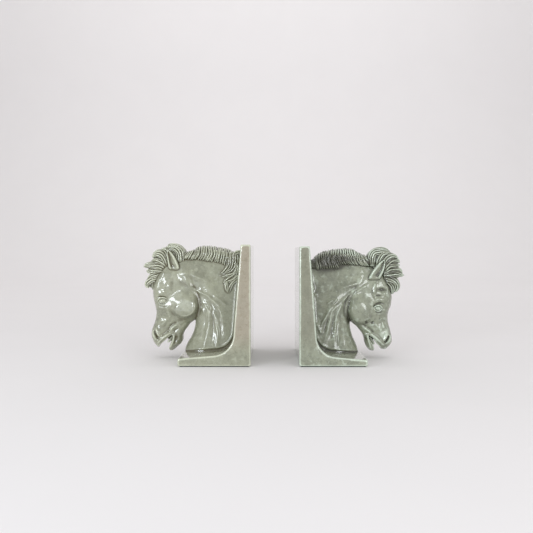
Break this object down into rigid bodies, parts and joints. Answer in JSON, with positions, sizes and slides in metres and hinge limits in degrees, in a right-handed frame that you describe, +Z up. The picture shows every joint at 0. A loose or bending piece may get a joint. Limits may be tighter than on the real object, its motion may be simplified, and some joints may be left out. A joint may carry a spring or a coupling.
{
  "type": "horse-head book ends",
  "caption": "Pair of glazed ceramic book ends: L-shaped brackets, each with a horse's neck rising from the foot and its head arching outwards over the end.",
  "frame": {"origin": "on the shelf, under the middle of the pair's bounding box, between the two faces that hold the books", "axes": "+X from the left book end to the right one, +Y from the viewer's side to the back, +Z up"},
  "size_m": [0.3302, 0.13, 0.1425],
  "materials": {
    "celadon_glaze": "glossy grey-green glaze with brown pooling in the grooves",
    "felt": "dark green felt"
  },
  "bodies": {
    "left_book_end": {"left_bracket": "celadon_glaze", "left_felt": "felt", "left_neck": "celadon_glaze", "left_head": "celadon_glaze", "left_jaw": "celadon_glaze", "left_forelock": "celadon_glaze", "left_mane": "celadon_glaze", "left_mane_tail": "celadon_glaze", "left_ear_front": "celadon_glaze", "left_ear_back": "celadon_glaze", "left_eye_front": "celadon_glaze", "left_eye_back": "celadon_glaze"},
    "right_book_end": {"right_bracket": "celadon_glaze", "right_felt": "felt", "right_neck": "celadon_glaze", "right_head": "celadon_glaze", "right_jaw": "celadon_glaze", "right_forelock": "celadon_glaze", "right_mane": "celadon_glaze", "right_ear_front": "celadon_glaze", "right_ear_back": "celadon_glaze", "right_eye_front": "celadon_glaze", "right_eye_back": "celadon_glaze"}
  },
  "joints": [
    {"name": "right_book_end_slide", "type": "slide", "parent": "left_book_end", "child": "right_book_end", "axis": [1, 0, 0], "range_m": [-0.054, 0.1]}
  ]
}
